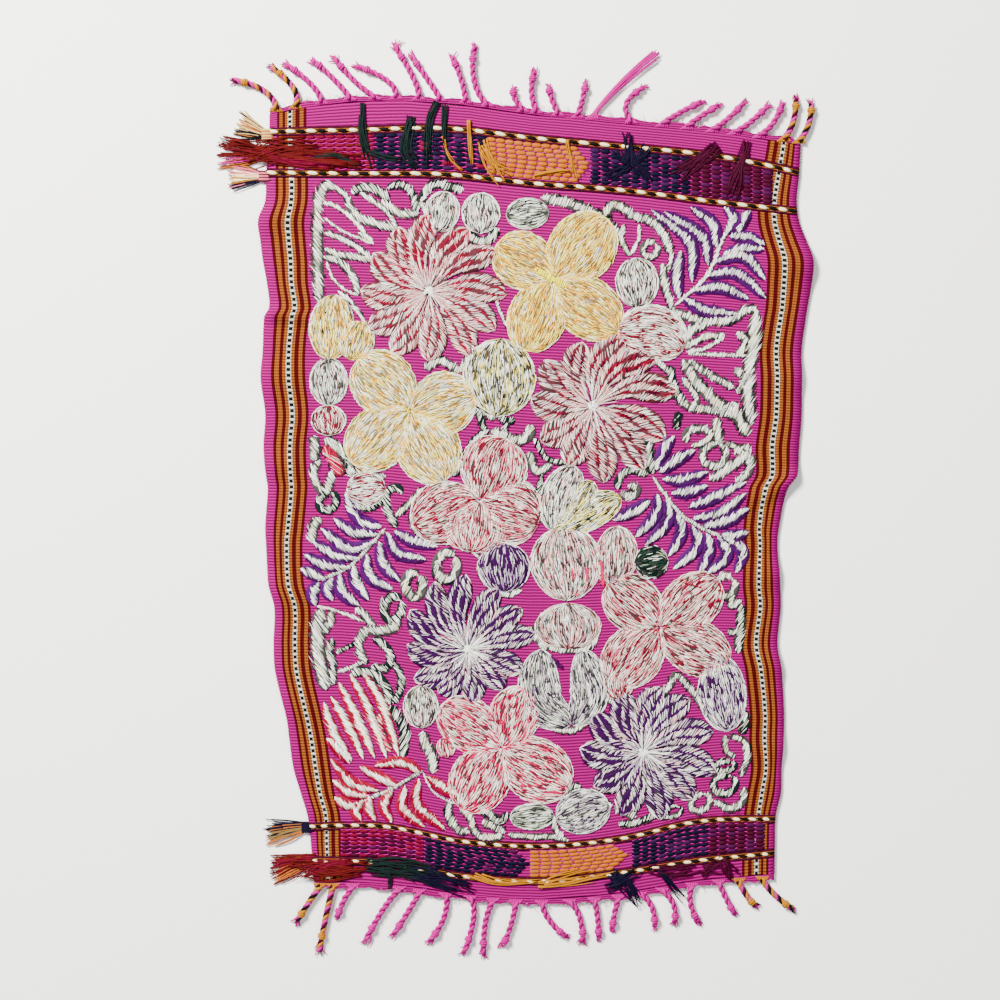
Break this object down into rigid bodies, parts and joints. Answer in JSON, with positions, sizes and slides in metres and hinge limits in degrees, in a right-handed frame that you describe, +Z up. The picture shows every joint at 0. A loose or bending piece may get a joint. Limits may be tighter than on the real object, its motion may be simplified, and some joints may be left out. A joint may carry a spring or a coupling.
{
  "type": "embroidered woven cloth with knotted fringes",
  "caption": "Small hand-woven cotton cloth lying flat, with raised satin-stitch flowers, brocaded end bands, striped borders and knotted fringes.",
  "frame": {"origin": "middle of the bounding box's underside, on the surface that the cloth lies on", "axes": "+X across the cloth to its right edge, +Y along the cloth to its upper fringe, +Z up out of the worked face"},
  "size_m": [0.3608, 0.5556, 0.0054],
  "materials": {
    "cloth": "hand-woven cotton rep in magenta, matt",
    "fringe": "plied magenta cotton cord, matt",
    "gold_thread": "loose gold cotton thread, matt",
    "red_thread": "loose dark red cotton thread, matt",
    "green_thread": "loose dark green cotton thread, matt",
    "navy_thread": "loose navy cotton thread, matt",
    "wine_thread": "loose wine cotton thread, matt"
  },
  "bodies": {
    "root": {"cloth": "cloth", "fringe_top": "fringe", "fringe_low": "fringe", "weft_ends_gold_top": "gold_thread", "weft_ends_red_top": "red_thread", "weft_ends_cream_top": "gold_thread", "weft_ends_navy_low": "navy_thread", "weft_ends_red_low": "red_thread", "tails_red_top": "red_thread", "tails_green_top": "green_thread", "tails_gold_top": "gold_thread", "tails_navy_top": "navy_thread", "tails_wine_top": "wine_thread", "tails_red_low": "red_thread", "tails_green_low": "green_thread", "tails_gold_low": "gold_thread", "tails_navy_low": "navy_thread", "tails_wine_low": "wine_thread"}
  },
  "joints": []
}
